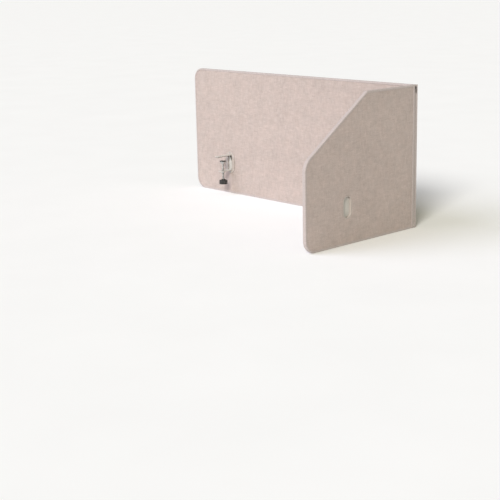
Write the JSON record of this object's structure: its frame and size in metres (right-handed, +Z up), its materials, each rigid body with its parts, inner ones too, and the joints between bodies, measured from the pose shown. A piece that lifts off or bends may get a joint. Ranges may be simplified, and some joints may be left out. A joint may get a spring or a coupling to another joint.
{
  "type": "desk privacy panel",
  "caption": "L-shaped fabric-covered desk screen: a rear board and a side board with a sloping front, joined by a corner zip and held to a desk top by screw clamps.",
  "frame": {"origin": "centre of the whole footprint, level with the lower edges of both boards", "axes": "+Z up, +X to the right for a user who sits at -Y and faces +Y; the rear board lies along X at +Y and the side board along Y at +X"},
  "size_m": [1.203, 0.559, 0.51],
  "materials": {
    "cover_fabric": "woven polyester, pale rose-beige melange",
    "wadding": "needled felt",
    "core": "thin fibreboard",
    "trim": "soft ribbed edge binding, light greige",
    "zip_tape": "woven zip tape",
    "zip_plastic": "nylon coil",
    "zip_metal": "dark enamel",
    "moulding": "satin moulded plastic",
    "bracket_paint": "fine textured powder coat",
    "rubber": "matte",
    "steel": "zinc plated",
    "knob_plastic": "matte black"
  },
  "bodies": {
    "rear_panel": {"rear_core_board": "core", "rear_front_felt": "wadding", "rear_back_felt": "wadding", "rear_front_fabric": "cover_fabric", "rear_back_fabric": "cover_fabric", "rear_edge_trim": "trim", "rear_end_trim": "trim", "rear_zip_tape": "zip_tape", "rear_zip_coil": "zip_plastic", "side_zip_coil": "zip_plastic", "zip_top_stops": "zip_plastic", "zip_retainer_box": "zip_plastic", "zip_insertion_pin": "zip_plastic", "rear_left_slot_liner": "moulding", "rear_left_bezel": "moulding", "rear_left_bezel_screws": "steel", "rear_left_bracket": "bracket_paint", "rear_left_jaw_pad": "rubber", "rear_left_nut": "steel", "rear_right_slot_liner": "moulding", "rear_right_bezel": "moulding", "rear_right_bezel_screws": "steel", "rear_right_bracket": "bracket_paint", "rear_right_jaw_pad": "rubber", "rear_right_nut": "steel"},
    "side_panel": {"side_core_board": "core", "side_inner_felt": "wadding", "side_outer_felt": "wadding", "side_inner_fabric": "cover_fabric", "side_outer_fabric": "cover_fabric", "side_edge_trim": "trim", "side_end_trim": "trim", "side_zip_tape": "zip_tape", "side_slot_liner": "moulding", "side_bezel": "moulding", "side_bezel_screws": "steel", "side_bracket": "bracket_paint", "side_jaw_pad": "rubber", "side_nut": "steel"},
    "zip_slider": {"zip_slider": "zip_metal"},
    "zip_pull": {"zip_pull": "zip_metal"},
    "rear_left_foot": {"rear_left_foot": "steel", "rear_left_foot_pad": "rubber"},
    "rear_left_screw": {"rear_left_spindle": "steel", "rear_left_knob": "knob_plastic"},
    "rear_right_foot": {"rear_right_foot": "steel", "rear_right_foot_pad": "rubber"},
    "rear_right_screw": {"rear_right_spindle": "steel", "rear_right_knob": "knob_plastic"},
    "side_foot": {"side_foot": "steel", "side_foot_pad": "rubber"},
    "side_screw": {"side_spindle": "steel", "side_knob": "knob_plastic"}
  },
  "joints": [
    {"name": "corner_fold", "type": "hinge", "parent": "rear_panel", "child": "side_panel", "pos_m": [0.5991, 0.265, 0.255], "axis": [0, 0, 1], "range_deg": [0, 90]},
    {"name": "zip_slide", "type": "slide", "parent": "rear_panel", "child": "zip_slider", "axis": [0, 0, -1], "range_m": [0, 0.476]},
    {"name": "zip_pull_swing", "type": "hinge", "parent": "zip_slider", "child": "zip_pull", "pos_m": [0.602, 0.2691, 0.5005], "axis": [0, -1, 0], "range_deg": [0, 170]},
    {"name": "rear_left_foot_slide", "type": "slide", "parent": "rear_panel", "child": "rear_left_foot", "axis": [0, 0, 1], "range_m": [-0.027, 0.008]},
    {"name": "rear_left_screw_turn", "type": "hinge", "parent": "rear_left_foot", "child": "rear_left_screw", "pos_m": [-0.385, 0.2255, 0.1], "axis": [0, 0, 1], "range_deg": [-7777, 2305]},
    {"name": "rear_right_foot_slide", "type": "slide", "parent": "rear_panel", "child": "rear_right_foot", "axis": [0, 0, 1], "range_m": [-0.027, 0.008]},
    {"name": "rear_right_screw_turn", "type": "hinge", "parent": "rear_right_foot", "child": "rear_right_screw", "pos_m": [0.385, 0.2255, 0.1], "axis": [0, 0, 1], "range_deg": [-7777, 2305]},
    {"name": "side_foot_slide", "type": "slide", "parent": "side_panel", "child": "side_foot", "axis": [0, 0, 1], "range_m": [-0.027, 0.008]},
    {"name": "side_screw_turn", "type": "hinge", "parent": "side_foot", "child": "side_screw", "pos_m": [0.546, -0.0795, 0.1], "axis": [0, 0, 1], "range_deg": [-7777, 2305]}
  ],
  "couplings": [
    {"joint": "rear_left_screw_turn", "follows": "rear_left_foot_slide", "rad_per_m": 5026.5},
    {"joint": "rear_right_screw_turn", "follows": "rear_right_foot_slide", "rad_per_m": 5026.5},
    {"joint": "side_screw_turn", "follows": "side_foot_slide", "rad_per_m": 5026.5}
  ]
}
